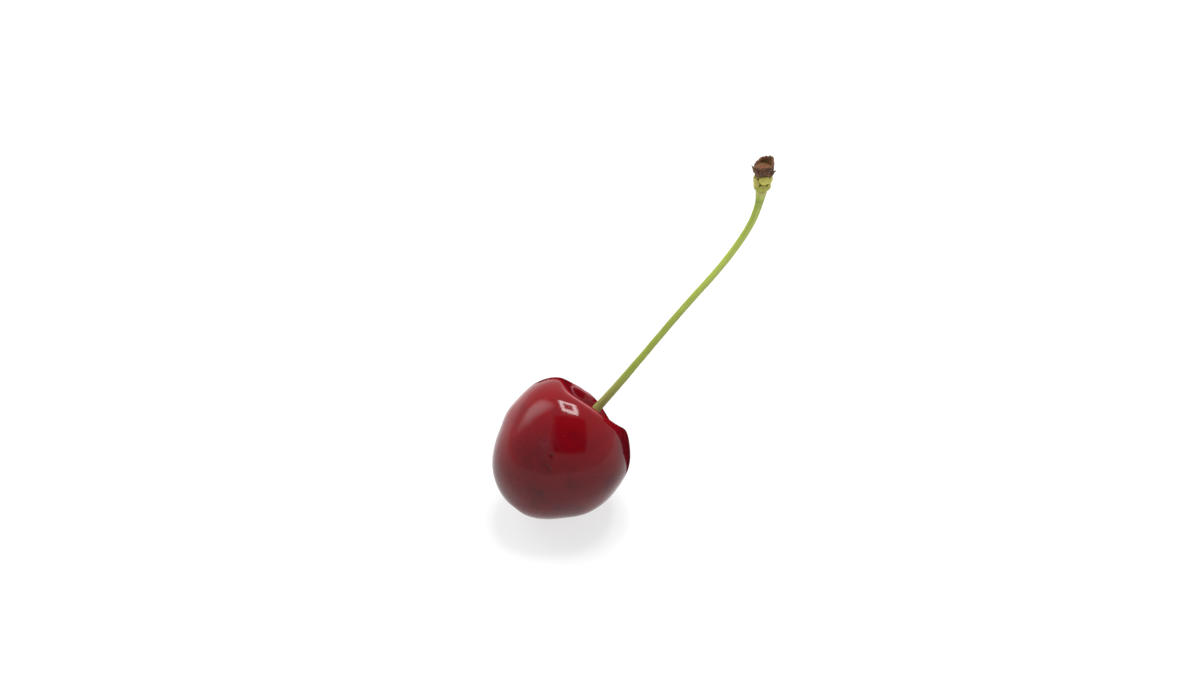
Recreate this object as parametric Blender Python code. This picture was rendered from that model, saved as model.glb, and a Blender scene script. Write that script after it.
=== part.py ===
"""A sweet cherry as picked, lying on a flat surface: the fruit, its long stem, the collar of bud scales at
the stem's far end and the cup of bark that was torn off with it.

Blender 4.5, metres, +Z up. The origin is the middle of the flat spot that the fruit rests on. The fruit's
crown leans to +X and +Y, and the stem rises that way.
"""

import math

import bmesh
import bpy
from mathutils import Matrix, Vector
from mathutils.geometry import interpolate_bezier

MM = 0.001

# Fruit. Its own +Z runs from the blossom end to the stem, and its own +X side faces down. Angles called
# polar are from its +Z, and sides are turns about it from its +X.
FRUIT_CENTRE = Vector((0.3, 0.0, 12.25)) * MM
FRUIT_LEAN = math.radians(49.5)
FRUIT_HEADING = math.radians(38)
BODY_RADIUS = 12.6 * MM
BODY_LENGTHENED = 0.5 * MM
CROWN_TALLER = 0.1 * MM
FLANKS_NARROWED = 0.1 * MM
FULL_SIDE = math.radians(126)
FULL_SIDE_SWELL = 0.42 * MM
HOLLOW_DEPTH = 8.4 * MM
HOLLOW_WIDTH = 5.2 * MM
# Each swell or sag: polar angle and its spread, side and its spread, in degrees, and height in millimetres
FRUIT_SWELLS = (
    (36, 14, 173, 28, -0.85),
    (36, 14, -8, 34, -1.6),
    (36, 14, 50, 26, 0.6),
    (64, 16, -54, 45, 0.25),
    (112, 24, 126, 50, -0.3),
    (127, 18, 130, 26, -0.3),
    (92, 12, 126, 22, 0.35),
    (112, 25, 0, 45, 0.48),
    (125, 15, -58, 20, 0.5),
    (88, 14, -54, 22, -0.25),
    (166, 20, 126, 60, 1.1),
)
BLOSSOM_END_FULLER = 0.55 * MM
BLOSSOM_END_SPREAD = math.radians(20)
SEAM_SIDE = math.radians(60)
SEAM_WIDTH = math.radians(7)
SEAM_DEPTH = 0.2 * MM
BLOSSOM_SCAR_WIDTH = 1.3 * MM
BLOSSOM_SCAR_DEPTH = 0.3 * MM
FRUIT_SEGMENTS = 64
FRUIT_RINGS = 40

# Stem: its middle line from just above the floor of the hollow to the collar
STEM_ROUTE = [
    FRUIT_CENTRE + Vector(from_centre) * MM
    for from_centre in (
        (3.0, 2.3, 3.2),
        (6.4, 4.9, 5.5),
        (10.8, 8.0, 9.3),
        (15.1, 11.2, 13.2),
        (19.5, 14.5, 17.2),
        (23.4, 17.4, 20.6),
        (26.7, 19.8, 23.3),
        (29.7, 22.1, 26.0),
        (32.3, 24.1, 28.9),
        (34.4, 25.9, 32.0),
        (35.5, 27.1, 34.9),
        (36.0, 27.9, 37.6),
    )
]
STEM_STEPS = 2
STEM_RADIUS = 0.56 * MM
STEM_FOOT_RADIUS = 0.68 * MM
STEM_FOOT_LENGTH = 6 * MM
STEM_FLARE_RADIUS = 0.86 * MM
STEM_FLARE_LENGTH = 2.2 * MM
WELD = 0.01 * MM

# Collar of bud scales, standing on the stem's end with its own +Z along the stem
NODE_GAP = 0.3 * MM
TIP_LEAN_BACK = math.radians(11.5)
TIP_LEAN_ASIDE = math.radians(4.5)
COLLAR_HEIGHT = 2.5 * MM
COLLAR_FOOT_RADIUS = 0.95 * MM
COLLAR_TOP_RADIUS = 1.4 * MM
SCALES_PER_TIER = 6
SCALE_TIER_HEIGHTS = (0.7 * MM, 1.75 * MM)
SCALE_TIER_RADII = (1.25 * MM, 1.42 * MM)
SCALE_HALF_WIDTH = 0.86 * MM
SCALE_HALF_THICKNESS = 0.36 * MM
SCALE_HALF_HEIGHT = 0.92 * MM
SCALE_SPREAD = math.radians(10)

# Cup of torn bark: heights and reaches of its rim, one for each eighth of a turn from +X
BARK_RIM_HEIGHTS = [height * MM for height in (2.8, 3.0, 2.6, 1.9, 1.9, 2.2, 2.6, 2.5)]
BARK_RIM_REACHES = [reach * MM for reach in (1.9, 2.2, 1.8, 1.8, 2.0, 1.75, 1.85, 1.9)]
BARK_FOOT_RADIUS = 1.35 * MM
BARK_FOOT_ROUNDING = 0.1 * MM
BARK_BELLY_SHARE = 0.95
BARK_BELLY_HEIGHT_SHARE = 0.45
BARK_WALL = 0.35 * MM
BARK_HOLLOW_RADIUS = 1.25 * MM
BARK_HOLLOW_FLOOR = 1.7 * MM
BARK_RIDGES = 9
BARK_RIDGE_DEPTH = 0.05
BARK_SEGMENTS = 32
BARK_RINGS = 16
# Each flake on the cup's side: turn in degrees and height in millimetres
FLAKE_PLACES = ((0, 1.0), (109, 1.5), (223, 0.9), (298, 1.6))
FLAKE_REACH = 1.9 * MM
FLAKE_RADIUS = 0.5 * MM
FLAKE_TIP_RADIUS = 0.05 * MM
FLAKE_LENGTH = 0.9 * MM
FLAKE_TILT = math.radians(105)
FLAKE_SIDES = 5


def clear_scene():
    for thing in list(bpy.data.objects):
        bpy.data.objects.remove(thing, do_unlink=True)


def make_collection(name):
    collection = bpy.data.collections.new(name)
    bpy.context.scene.collection.children.link(collection)
    return collection


def make_material(name, colour, roughness):
    material = bpy.data.materials.new(name)
    material.use_nodes = True
    shader = material.node_tree.nodes["Principled BSDF"]
    shader.inputs["Base Color"].default_value = (*colour, 1)
    shader.inputs["Roughness"].default_value = roughness
    shader.inputs["Metallic"].default_value = 0
    return material


def make_object(name, mesh, collection, material):
    piece = bpy.data.objects.new(name, mesh)
    piece.data.materials.append(material)
    collection.objects.link(piece)
    return piece


def bell(offset, width):
    return math.exp(-((offset / width) ** 2))


def turn_between(turn, side):
    return math.remainder(turn - side, math.tau)


def formed_sphere(segments, rings, form):
    """A sphere whose every vertex is moved to form(polar, turn): polar from +Z, turn about it from +X."""
    shape = bmesh.new()
    bmesh.ops.create_uvsphere(shape, u_segments=segments, v_segments=rings, radius=1)
    for vertex in shape.verts:
        polar = math.acos(max(-1, min(1, vertex.co.z)))
        turn = math.atan2(vertex.co.y, vertex.co.x)
        vertex.co = form(polar, turn)
    return shape


def to_mesh(name, shape):
    mesh = bpy.data.meshes.new(name)
    shape.to_mesh(mesh)
    shape.free()
    return mesh


def smooth(mesh, sharp_over):
    mesh.shade_smooth()
    mesh.set_sharp_from_angle(angle=sharp_over)


def unite(name, shapes):
    """One closed mesh of several overlapping shapes."""
    pieces = [bpy.data.objects.new(name, to_mesh(name, shape)) for shape in shapes]
    whole = pieces[0]
    for piece in pieces:
        bpy.context.scene.collection.objects.link(piece)
    for piece in pieces[1:]:
        joint = whole.modifiers.new(piece.name, "BOOLEAN")
        joint.operation = "UNION"
        joint.solver = "MANIFOLD"
        joint.object = piece
    bpy.context.view_layer.update()
    mesh = bpy.data.meshes.new_from_object(whole.evaluated_get(bpy.context.evaluated_depsgraph_get()))
    mesh.name = name
    for piece in pieces:
        bpy.data.objects.remove(piece)
    return mesh


def fruit_form(polar, turn):
    """The skin: a slightly lengthened, lopsided ball with a funnel sunk in its crown."""
    reach = (
        BODY_RADIUS
        + BODY_LENGTHENED * math.cos(2 * polar)
        + CROWN_TALLER * math.cos(polar)
        - FLANKS_NARROWED * math.cos(3 * polar)
    )
    full_side = math.cos(turn_between(turn, FULL_SIDE)) * math.sin(polar)
    reach -= FULL_SIDE_SWELL * full_side * math.cos(4 * polar)
    for centre, spread, side, side_spread, height in FRUIT_SWELLS:
        up_down = bell(math.degrees(polar) - centre, spread)
        around = bell(math.degrees(turn_between(turn, math.radians(side))), side_spread)
        reach += height * MM * up_down * around * math.sin(polar)
    reach += BLOSSOM_END_FULLER * bell(math.pi - polar, BLOSSOM_END_SPREAD)
    seam = bell(turn_between(turn, SEAM_SIDE), SEAM_WIDTH)
    reach -= SEAM_DEPTH * seam * math.sin(polar) ** 2
    across = reach * math.sin(polar)
    along = reach * math.cos(polar)
    if along > 0:
        along -= HOLLOW_DEPTH * math.exp(-((across / HOLLOW_WIDTH) ** 3))
    else:
        along += BLOSSOM_SCAR_DEPTH * bell(across, BLOSSOM_SCAR_WIDTH)
    return Vector((across * math.cos(turn), across * math.sin(turn), along))


def make_fruit(collection, empty):
    shape = formed_sphere(FRUIT_SEGMENTS, FRUIT_RINGS, fruit_form)
    turned = Matrix.Rotation(FRUIT_HEADING, 4, "Z") @ Matrix.Rotation(FRUIT_LEAN, 4, "Y")
    placed = Matrix.Translation(FRUIT_CENTRE) @ turned
    to_fruit = placed.inverted()
    floor = bmesh.ops.bisect_plane(
        shape,
        geom=shape.verts[:] + shape.edges[:] + shape.faces[:],
        plane_co=to_fruit @ Vector((0, 0, 0)),
        plane_no=to_fruit.to_3x3() @ Vector((0, 0, -1)),
        clear_outer=True,
    )
    edge = [part for part in floor["geom_cut"] if isinstance(part, bmesh.types.BMEdge)]
    bmesh.ops.edgeloop_fill(shape, edges=edge)
    bmesh.ops.recalc_face_normals(shape, faces=shape.faces)
    mesh = to_mesh("fruit", shape)
    smooth(mesh, math.radians(15))
    fruit = make_object("fruit", mesh, collection, make_material("ripe_skin", (0.25, 0.006, 0.01), 0.2))
    fruit.location = FRUIT_CENTRE
    fruit.rotation_euler = (0, FRUIT_LEAN, FRUIT_HEADING)
    fruit.parent = empty


def smooth_route(points, steps):
    """A smooth line through the points, with this many steps between each two."""
    ends = [2 * points[0] - points[1], *points, 2 * points[-1] - points[-2]]
    route = []
    for before, start, end, after in zip(ends, ends[1:], ends[2:], ends[3:]):
        leave = start + (end - before) / 6
        arrive = end - (after - start) / 6
        route += interpolate_bezier(start, leave, arrive, end, steps + 1)[:-1]
    return route + [points[-1]]


def stem_radius(from_foot, from_end):
    foot = (STEM_FOOT_RADIUS - STEM_RADIUS) * bell(from_foot, STEM_FOOT_LENGTH)
    flare = (STEM_FLARE_RADIUS - STEM_RADIUS) * bell(from_end, STEM_FLARE_LENGTH)
    return STEM_RADIUS + foot + flare


def make_stem(collection, empty):
    route = smooth_route(STEM_ROUTE, STEM_STEPS)
    steps = [(b - a).length for a, b in zip(route, route[1:])]
    line = bpy.data.curves.new("stem", "CURVE")
    line.dimensions = "3D"
    line.bevel_depth = 1
    line.bevel_resolution = 3
    line.use_fill_caps = True
    spline = line.splines.new("POLY")
    spline.points.add(len(route) - 1)
    for index, place in enumerate(route):
        spline.points[index].co = (*place, 1)
        spline.points[index].radius = stem_radius(sum(steps[:index]), sum(steps[index:]))
    source = bpy.data.objects.new("stem_line", line)
    collection.objects.link(source)
    bpy.context.view_layer.update()
    mesh = bpy.data.meshes.new_from_object(source.evaluated_get(bpy.context.evaluated_depsgraph_get()))
    bpy.data.objects.remove(source)
    shape = bmesh.new()
    shape.from_mesh(mesh)
    bmesh.ops.remove_doubles(shape, verts=shape.verts, dist=WELD)
    shape.to_mesh(mesh)
    shape.free()
    mesh.name = "stem"
    mesh.materials.clear()
    smooth(mesh, math.radians(40))
    stem = make_object("stem", mesh, collection, make_material("green_stalk", (0.3, 0.39, 0.06), 0.5))
    stem.parent = empty


def scale_shape(tier, number):
    """One rounded scale, leaning out from the collar."""
    shape = bmesh.new()
    bmesh.ops.create_uvsphere(shape, u_segments=12, v_segments=8, radius=1)
    size = Matrix.Diagonal((SCALE_HALF_THICKNESS, SCALE_HALF_WIDTH, SCALE_HALF_HEIGHT, 1))
    lean = Matrix.Rotation(SCALE_SPREAD, 4, "Y")
    out = Matrix.Translation((SCALE_TIER_RADII[tier], 0, SCALE_TIER_HEIGHTS[tier]))
    turn = math.tau * (number + tier / 2) / SCALES_PER_TIER
    around = Matrix.Rotation(turn, 4, "Z")
    bmesh.ops.transform(shape, matrix=around @ out @ lean @ size, verts=shape.verts)
    return shape


def make_bud_scales(collection, tip):
    core = bmesh.new()
    bmesh.ops.create_cone(
        core,
        cap_ends=True,
        segments=24,
        radius1=COLLAR_FOOT_RADIUS,
        radius2=COLLAR_TOP_RADIUS,
        depth=COLLAR_HEIGHT,
        matrix=Matrix.Translation((0, 0, COLLAR_HEIGHT / 2)),
    )
    scales = [scale_shape(tier, number) for tier in (0, 1) for number in range(SCALES_PER_TIER)]
    mesh = unite("bud_scales", [core, *scales])
    smooth(mesh, math.radians(35))
    collar = make_object(
        "bud_scales", mesh, collection, make_material("green_scale", (0.48, 0.46, 0.1), 0.6)
    )
    collar.location = (0, 0, NODE_GAP)
    collar.parent = tip


def around_rim(values, turn):
    """A value at this turn, eased between the eighths of a turn that are given."""
    place = (turn % math.tau) / math.tau * len(values)
    whole = math.floor(place)
    eased = 0.5 - 0.5 * math.cos(math.pi * (place - whole))
    first = values[whole % len(values)]
    second = values[(whole + 1) % len(values)]
    return first + (second - first) * eased


def bark_form(polar, turn):
    """The torn cup, from the floor of its hollow over the ragged rim and down the outside to its foot."""
    height = around_rim(BARK_RIM_HEIGHTS, turn)
    reach = around_rim(BARK_RIM_REACHES, turn)
    # Polar angle in degrees, distance from the axis and height, from the hollow's floor to the foot
    stations = (
        (0, 0, BARK_HOLLOW_FLOOR),
        (40, BARK_HOLLOW_RADIUS, BARK_HOLLOW_FLOOR),
        (70, reach - BARK_WALL, height),
        (85, reach, height),
        (120, reach * BARK_BELLY_SHARE, height * BARK_BELLY_HEIGHT_SHARE),
        (150, BARK_FOOT_RADIUS, BARK_FOOT_ROUNDING),
        (165, BARK_FOOT_RADIUS / 2, 0),
        (180, 0, 0),
    )
    degrees = math.degrees(polar)
    for (start, start_across, start_along), (end, end_across, end_along) in zip(stations, stations[1:]):
        if degrees <= end:
            break
    share = min(1, max(0, (degrees - start) / (end - start)))
    across = start_across + (end_across - start_across) * share
    along = start_along + (end_along - start_along) * share
    ridge = 1 + BARK_RIDGE_DEPTH * math.cos(BARK_RIDGES * turn) * math.sin(polar)
    return Vector((across * ridge * math.cos(turn), across * ridge * math.sin(turn), along))


def flake_shape(turn, height):
    """A pointed flake that stands out from the side of the cup."""
    shape = bmesh.new()
    bmesh.ops.create_cone(
        shape,
        cap_ends=True,
        segments=FLAKE_SIDES,
        radius1=FLAKE_RADIUS,
        radius2=FLAKE_TIP_RADIUS,
        depth=FLAKE_LENGTH,
    )
    point_out = Matrix.Rotation(FLAKE_TILT, 4, "Y")
    out = Matrix.Translation((FLAKE_REACH, 0, height))
    around = Matrix.Rotation(turn, 4, "Z")
    bmesh.ops.transform(shape, matrix=around @ out @ point_out, verts=shape.verts)
    return shape


def make_spur_bark(collection, tip):
    cup = formed_sphere(BARK_SEGMENTS, BARK_RINGS, bark_form)
    flakes = [flake_shape(math.radians(turn), height * MM) for turn, height in FLAKE_PLACES]
    mesh = unite("spur_bark", [cup, *flakes])
    smooth(mesh, math.radians(20))
    bark = make_object("spur_bark", mesh, collection, make_material("torn_bark", (0.16, 0.07, 0.026), 0.85))
    bark.location = (0, 0, 2 * NODE_GAP + COLLAR_HEIGHT)
    bark.parent = tip


def make_empty(name, place, collection):
    empty = bpy.data.objects.new(name, None)
    empty.empty_display_size = 5 * MM
    empty.location = place
    collection.objects.link(empty)
    return empty


def main():
    clear_scene()
    collection = make_collection("cherry")
    whole = make_empty("cherry", (0, 0, 0), collection)
    tip = make_empty("stem_end", STEM_ROUTE[-1], collection)
    tip.rotation_euler = (-TIP_LEAN_BACK, TIP_LEAN_ASIDE, 0)
    tip.parent = whole
    make_fruit(collection, whole)
    make_stem(collection, whole)
    make_bud_scales(collection, tip)
    make_spur_bark(collection, tip)


main()
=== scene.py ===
"""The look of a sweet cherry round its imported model: skin, stem, bud scales, torn bark and the studio.

Metres, +Z up. The fruit rests on the floor at the origin, and its stem rises to +X and +Y. It is laid out as
an add-on and run as a script: main() calls one operator for each piece.
"""

import math

import bmesh
import bpy
from bpy.props import FloatProperty, FloatVectorProperty, PointerProperty
from mathutils import Euler, Matrix, Vector, noise
from mathutils.geometry import interpolate_bezier


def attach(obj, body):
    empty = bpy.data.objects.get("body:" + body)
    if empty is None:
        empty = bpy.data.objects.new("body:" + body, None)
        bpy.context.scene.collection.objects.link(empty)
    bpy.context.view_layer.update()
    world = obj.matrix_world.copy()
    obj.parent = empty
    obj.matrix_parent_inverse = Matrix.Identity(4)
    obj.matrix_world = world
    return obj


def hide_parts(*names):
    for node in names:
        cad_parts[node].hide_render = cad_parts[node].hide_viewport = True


bl_info = {
    "name": "Cherry",
    "version": (1, 0, 0),
    "blender": (4, 5, 0),
    "location": "3D View > Sidebar > Cherry",
    "description": "Makes a sweet cherry with its stem, bud scales and torn bark, and a plain studio",
    "category": "Add Mesh",
}

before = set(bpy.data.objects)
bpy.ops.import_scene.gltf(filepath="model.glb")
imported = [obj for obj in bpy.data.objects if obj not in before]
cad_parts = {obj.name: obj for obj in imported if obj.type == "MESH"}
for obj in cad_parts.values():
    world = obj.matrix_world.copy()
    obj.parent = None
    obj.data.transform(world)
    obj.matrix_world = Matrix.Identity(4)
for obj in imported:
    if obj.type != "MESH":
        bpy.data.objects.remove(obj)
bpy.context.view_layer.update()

MM = 0.001
BODY = "root"

# Fruit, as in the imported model: its own +Z runs from the blossom end to the stem, its own +X faces down
FRUIT_CENTRE = Vector((0.3, 0.0, 12.25)) * MM
FRUIT_LEAN = math.radians(49.5)
FRUIT_HEADING = math.radians(38)
FRUIT_PLACED = Matrix.Translation(FRUIT_CENTRE) @ Euler((0, FRUIT_LEAN, FRUIT_HEADING)).to_matrix().to_4x4()
BODY_RADIUS = 12.6 * MM
BODY_LENGTHENED = 0.5 * MM
CROWN_TALLER = 0.1 * MM
FLANKS_NARROWED = 0.1 * MM
FULL_SIDE = math.radians(126)
FULL_SIDE_SWELL = 0.42 * MM
HOLLOW_DEPTH = 8.4 * MM
HOLLOW_WIDTH = 5.2 * MM
# Each swell or sag: polar angle and its spread, side and its spread, in degrees, and height in millimetres
FRUIT_SWELLS = (
    (36, 14, 173, 28, -0.85),
    (36, 14, -8, 34, -1.6),
    (36, 14, 50, 26, 0.6),
    (64, 16, -54, 45, 0.25),
    (112, 24, 126, 50, -0.3),
    (127, 18, 130, 26, -0.3),
    (92, 12, 126, 22, 0.35),
    (112, 25, 0, 45, 0.48),
    (125, 15, -58, 20, 0.5),
    (88, 14, -54, 22, -0.25),
    (166, 20, 126, 60, 1.1),
)
BLOSSOM_END_FULLER = 0.55 * MM
BLOSSOM_END_SPREAD = math.radians(20)
SEAM_SIDE = math.radians(60)
SEAM_WIDTH = math.radians(7)
SEAM_DEPTH = 0.2 * MM
BLOSSOM_SCAR_WIDTH = 1.3 * MM
BLOSSOM_SCAR_DEPTH = 0.3 * MM
SCAR_POINT_WIDTH = 0.3 * MM
SCAR_POINT_DEPTH = 0.25 * MM
# Low ring of skin round the foot of the stem
FOOT_RING_RADIUS = 1.3 * MM
FOOT_RING_WIDTH = 0.5 * MM
FOOT_RING_HEIGHT = 0.3 * MM
FRUIT_SEGMENTS = 288
FRUIT_RINGS = 180

# Marks on the skin, in the fruit's own millimetres
PIT = Vector((-10.11, -6.5, -0.83))
PIT_RADIUS = 0.3
PIT_DEPTH = 0.12
SCRATCH = (Vector((-9.99, -6.06, -2.89)), Vector((-8.88, -7.61, -3.03)))
SCRATCH_RADIUS = 0.22
SCRATCH_DEPTH = 0.07
SCRATCH_ACROSS = (SCRATCH[1] - SCRATCH[0]).cross((SCRATCH[1] + SCRATCH[0]) / 2).normalized()
BLOOM = (Vector((-11.39, -3.64, 1.09)), Vector((-10.03, -6.48, -1.49)))
BLOOM_RADIUS = 1.6
# Darker skin: a small patch and the riper flank, and painted shade on the side away from the light
DARK_PATCH = Vector((-11.52, -0.22, -2.8))
DARK_PATCH_RADIUS = 2.4
DUSK = Vector((-11.1, -3.6, -1.3))
DUSK_RADIUS = 6.5
SHADED_SIDE = Vector((2.6, -10.0, 8.0))
SHADED_SIDE_RADIUS = 5.2
# Oval fold in the far wall of the hollow: a bumped ridge whose edge also gets a painted pale highlight. The
# width of its edge is a share of its half size
FOLD = Vector((2.2, 5.38, 9.66))
FOLD_LONG_WAY = Vector((0.961, -0.271, 0.063))
FOLD_WIDE_WAY = Vector((0.159, 0.721, 0.675))
FOLD_HALF_SIZE = (2.7, 0.92)
FOLD_EDGE = 0.12
FOLD_FADES = (3.8, 3.2)
# Painted highlights, pale lines along the near and far lip of the hollow: distance from the fruit's axis,
# width and strength
LIP_RADIUS = 7.95
FAR_LIP_RADIUS = 6.78
LIP_WIDTH = 0.3
NEAR_LIP_HIGHLIGHT = 0.42
FAR_LIP_HIGHLIGHT = 0.85

# Stem: its middle line from the floor of the hollow to inside the collar
STEM_ROUTE = [
    FRUIT_CENTRE + Vector(from_centre) * MM
    for from_centre in (
        (3.0, 2.3, 3.2),
        (6.4, 4.9, 5.5),
        (10.8, 8.0, 9.3),
        (15.1, 11.2, 13.2),
        (19.5, 14.5, 17.2),
        (23.4, 17.4, 20.6),
        (26.7, 19.8, 23.3),
        (29.7, 22.1, 26.0),
        (32.3, 24.1, 28.9),
        (34.4, 25.9, 32.0),
        (35.5, 27.1, 34.9),
        (36.0, 27.9, 37.6),
    )
]
STEM_ROOT = FRUIT_CENTRE + Vector((2.45, 1.9, 2.75)) * MM
STEM_STEPS = 36
STEM_SIDES = 24
# Side of the stem that gets painted light, as a turn about its middle line, and how far round it spreads
PAINTED_LIGHT_SIDE = math.radians(60)
PAINTED_LIGHT_SIDE_SPREAD = math.radians(45)
STEM_FOOT_RADIUS = 0.8 * MM
STEM_FOOT_LENGTH = 13 * MM
STEM_FLARE = 0.34 * MM
STEM_FLARE_LENGTH = 1.7 * MM
STEM_TOP_FULLER = 0.1 * MM
STEM_TOP_LENGTH = 6 * MM
STEM_INTO_COLLAR = 0.9 * MM
# Relief of the stem as shares of its radius, with the spacing and reach of its cross wrinkles
STEM_RIBS = 0.022
STEM_OVAL = 0.015
STEM_LUMPS = 0.05
STEM_WRINKLES = 0.014
STEM_WRINKLE_SPACING = 0.21 * MM
STEM_WRINKLES_REACH = 14 * MM

# Stem end: the collar and the bark share this frame, with +Z along the stem
TIP_LEANS = Euler((math.radians(-11.5), math.radians(4.5), 0))
TIP = Matrix.Translation(STEM_ROUTE[-1]) @ TIP_LEANS.to_matrix().to_4x4()

# Collar of bud scales. Each scale: turn, height of its middle, distance from the axis, half width, half
# height, half thickness, lean outwards. Degrees and millimetres
SCALES = (
    (276, 0.80, 1.22, 1.05, 0.88, 0.46, 3),
    (214, 0.90, 1.24, 0.85, 0.85, 0.46, 5),
    (334, 0.95, 1.20, 0.85, 0.85, 0.44, 8),
    (30, 1.05, 1.20, 0.90, 0.85, 0.44, 9),
    (92, 1.10, 1.20, 0.95, 0.85, 0.44, 8),
    (152, 1.05, 1.22, 0.90, 0.85, 0.44, 8),
    (282, 2.62, 1.42, 1.12, 0.95, 0.48, 4),
    (219, 1.95, 1.44, 0.76, 0.90, 0.46, 0),
    (338, 2.50, 1.42, 0.80, 0.95, 0.44, 5),
    (28, 2.30, 1.42, 0.85, 0.88, 0.42, 5),
    (88, 2.40, 1.40, 0.95, 0.90, 0.42, 4),
    (154, 1.85, 1.38, 0.90, 0.85, 0.40, 0),
)
# Form of each scale: narrow tip, thin edge, curled tip, and unevenness in millimetres
SCALE_NARROWS = 0.22
SCALE_LENS_POWER = 1.35
SCALE_CURL = 0.16
SCALE_WRINKLE = 0.05
SCALE_WAVE = 0.08
COLLAR_HEIGHT = 3.2 * MM
COLLAR_FOOT_RADIUS = 0.9 * MM
COLLAR_TOP_RADIUS = 1.3 * MM

# Cup of torn bark: heights and reaches of its rim, one for each eighth of a turn from +X
BARK_PLACED = TIP @ Matrix.Translation((0, 0, 3.1 * MM))
BARK_RIM_HEIGHTS = [height * MM for height in (2.75, 3.2, 2.9, 2.15, 1.6, 2.05, 2.45, 2.45)]
BARK_RIM_REACHES = [reach * MM for reach in (1.8, 1.98, 1.8, 1.8, 1.95, 1.75, 1.85, 1.85)]
BARK_FOOT_RADIUS = 1.48 * MM
BARK_WALL = 0.35 * MM
BARK_HOLLOW_RADIUS = 1.25 * MM
BARK_HOLLOW_FLOOR = 1.8 * MM
BARK_SEGMENTS = 192
BARK_RINGS = 120
# Torn rim, uneven reach and lumps of the bark in millimetres, then its walls as shares of their reach
BARK_TORN = 0.16
BARK_TORN_FINE = 0.14
BARK_REACH_UNEVEN = 0.12
BARK_LUMPS = 0.1
BARK_FIBRES = 0.07
BARK_PLATES = 0.045
BARK_CRUMBS = 0.05
# Flakes on the cup's side: distance from its axis, form in millimetres, and how pointed they are
FLAKE_DISTANCE = 1.72
FLAKE_HALF_THICKNESS = 0.2
FLAKE_LIFT = 0.34
FLAKE_UNEVEN = 0.08
FLAKE_POINTED = 0.75
# Each flake: turn in degrees and height, half width, half length in millimetres
FLAKES = (
    (2, 0.5, 0.5, 0.5),
    (109, 1.5, 0.5, 0.7),
    (178, 1.05, 0.5, 0.7),
    (223, 0.9, 0.6, 0.7),
    (262, 1.2, 0.55, 0.6),
    (298, 1.6, 0.5, 0.8),
    (330, 0.7, 0.5, 0.6),
    (55, 0.9, 0.55, 0.7),
)

# Camera: the photograph's frame is 216 mm wide at the distance of its target
CAMERA_TARGET = Vector((7.27, 13.43, 27.17)) * MM
FRAME_WIDTH = 0.216
SENSOR_WIDTH = 36

# Studio: a floor that glows a little, so that its shadow stays pale
FLOOR_GLOW = 0.7
FLOOR_HALF_SIZE = 1.5
FLOOR_BELOW = 0.02 * MM
# Dark card round the right and back: turn from +X in degrees, and height of its top in millimetres
CARD = ((14, 1), (15, 18), (17, 31), (21, 35), (30, 30), (45, 27), (60, 26), (75, 24), (90, 18), (104, 12))
CARD_STEPS = 6
CARD_NEAR = 15 * MM
CARD_FAR = 42 * MM
CARD_ABOVE_FLOOR = 0.1 * MM

# Light. Directions are from the fruit, and the lamp is a square frame on a ceiling one unit above it
TENT_BRIGHTNESS = 0.7
HORIZON_BRIGHTNESS = 0.1
LAMP_BRIGHTNESS = 21.0
LAMP_MIDDLE = (0.16, 0.52)
LAMP_SKEW = 0.16
LAMP_HALF_SIZE = (0.226, 0.31)
LAMP_HALF_INSIDE = (0.118, 0.168)
LAMP_EDGE = 0.02
GLOW_BRIGHTNESS = 3.7
GLOW_WAY = Vector((-0.66, 0.43, 0.61))
GLOW_LONG_WAY = Vector((0.262, -0.462, 0.847))
GLOW_SHORT_WAY = Vector((-0.451, -0.887, 0.088))
GLOW_HALF_SIZE = (0.31, 0.21)
# Dark opening of the tent towards the camera: its edges, how soft they are and how dark it is
OPENING_WAY = Vector((0, -0.5, 0.866))
OPENING_UP = Vector((0, 0.866, 0.5))
OPENING_SIDES = (-0.43, 0.85)
OPENING_ENDS = (-0.5, 0.64)
OPENING_SOFTNESS = (0.14, 0.1, 0.08)
OPENING_DARKNESS = 0.95

# Colours in the finishes, beside those that are settings
PALE_DOT = (0.6, 0.14, 0.13)
BRUISED = (0.02, 0.003, 0.004)
STEM_PATCH = (0.27, 0.32, 0.03)
STEM_STRIPE = (0.17, 0.25, 0.03)
STEM_PAINTED_LIGHT = (0.62, 0.7, 0.2)
STEM_BROWN_ROOT = (0.22, 0.11, 0.04)
STEM_UNDER_COLLAR = (0.48, 0.46, 0.15)
STEM_DARK_PATCH = (0.14, 0.2, 0.02)
STEM_SPECK = (0.5, 0.48, 0.24)
SCALE_TAN = (0.5, 0.42, 0.12)
SCALE_LOWER = (0.3, 0.36, 0.045)
SCALE_RUST = (0.3, 0.17, 0.04)
BARK_LIGHT = (0.22, 0.11, 0.05)
BARK_PURPLE = (0.07, 0.025, 0.03)
BARK_PINK = (0.3, 0.17, 0.13)
BARK_GRAIN = (0.05, 0.025, 0.015)
BARK_BLACKENED = (0.03, 0.022, 0.02)
WOOD_FIBRE = (0.13, 0.085, 0.03)
WOOD_DARK = (0.07, 0.02, 0.015)
PAPER_SHADE = (0.2, 0.2, 0.2)
FELT = (0.02, 0.002, 0.004)
FELT_LIGHT = (0.03, 0.004, 0.006)

# Shader inputs that stay the same all over a piece
SKIN_FIXED = {
    "IOR": 1.32,
    "Subsurface Weight": 0.15,
    "Subsurface Radius": (1.0, 0.15, 0.1),
    "Subsurface Scale": 0.0015,
}
STEM_FIXED = {
    "IOR": 1.4,
    "Subsurface Weight": 0.1,
    "Subsurface Radius": (0.6, 1.0, 0.2),
    "Subsurface Scale": 0.0004,
}


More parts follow.
